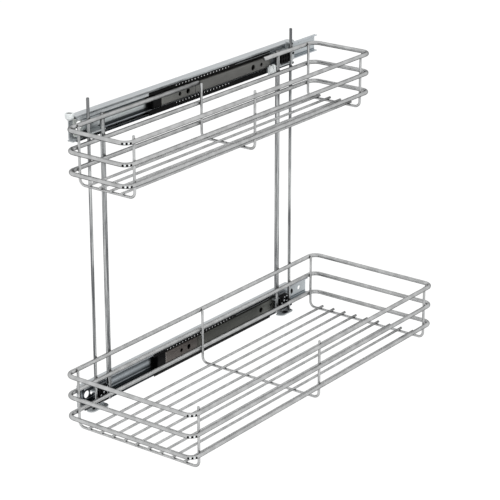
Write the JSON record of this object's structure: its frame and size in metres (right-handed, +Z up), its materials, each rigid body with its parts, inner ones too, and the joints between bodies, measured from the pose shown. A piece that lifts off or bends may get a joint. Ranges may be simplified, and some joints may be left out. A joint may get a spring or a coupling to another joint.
{
  "type": "under-sink pull-out",
  "caption": "Under-sink pull-out with a deep lower wire basket and a slim upper one, carried by upright rods on ball slides that screw to the cabinet wall.",
  "frame": {"origin": "centre of the rectangle of the four wall-screw holes, on the cabinet wall's face", "axes": "+Y into the cabinet wall, -X the way the baskets are pulled out, +Z up"},
  "size_m": [0.4975, 0.2042, 0.3745],
  "materials": {
    "zinc": "zinc plated, satin",
    "black_moulding": "matt black",
    "steel_balls": "polished",
    "dark_plate": "dark grey, satin",
    "white_moulding": "white, semi-gloss",
    "chrome_wire": "chrome plated"
  },
  "bodies": {
    "wall_rails": {"upper_cabinet_rail": "zinc", "lower_cabinet_rail": "zinc", "upper_front_bumper": "white_moulding"},
    "upper_cage": {"upper_ball_cage": "black_moulding", "upper_balls": "steel_balls"},
    "lower_cage": {"lower_ball_cage": "black_moulding", "lower_balls": "steel_balls"},
    "carriage": {"upper_runner": "zinc", "lower_runner": "zinc", "upper_front_bracket": "zinc", "upper_rear_bracket": "zinc", "lower_front_bracket": "zinc", "lower_rear_bracket": "zinc", "rivets": "zinc", "upper_end_block": "black_moulding", "lower_end_block": "black_moulding", "upper_rear_catch": "black_moulding", "lower_rear_catch": "black_moulding", "lower_front_catch": "black_moulding", "upper_carrier_plate": "dark_plate", "lower_carrier_plate": "dark_plate", "upper_rear_clip": "white_moulding", "front_thin_rod": "chrome_wire", "front_thick_rod": "chrome_wire", "rear_thick_rod": "chrome_wire", "rear_thin_rod": "chrome_wire", "lower_bottom_ring": "chrome_wire", "lower_middle_ring": "chrome_wire", "lower_top_ring": "chrome_wire", "upper_bottom_ring": "chrome_wire", "upper_middle_ring": "chrome_wire", "upper_top_ring": "chrome_wire", "lower_front_cross_wire": "chrome_wire", "lower_middle_cross_wire": "chrome_wire", "lower_rear_cross_wire": "chrome_wire", "upper_front_cross_wire": "chrome_wire", "upper_middle_cross_wire": "chrome_wire", "upper_rear_cross_wire": "chrome_wire", "lower_floor_wires": "chrome_wire", "upper_floor_wires": "chrome_wire"}
  },
  "joints": [
    {"name": "pull_out", "type": "slide", "parent": "wall_rails", "child": "carriage", "axis": [-1, 0, 0], "range_m": [0, 0.24]},
    {"name": "upper_cage_travel", "type": "slide", "parent": "wall_rails", "child": "upper_cage", "axis": [-1, 0, 0], "range_m": [0, 0.12]},
    {"name": "lower_cage_travel", "type": "slide", "parent": "wall_rails", "child": "lower_cage", "axis": [-1, 0, 0], "range_m": [0, 0.12]}
  ],
  "couplings": [
    {"joint": "upper_cage_travel", "follows": "pull_out", "ratio": 0.5},
    {"joint": "lower_cage_travel", "follows": "pull_out", "ratio": 0.5}
  ]
}
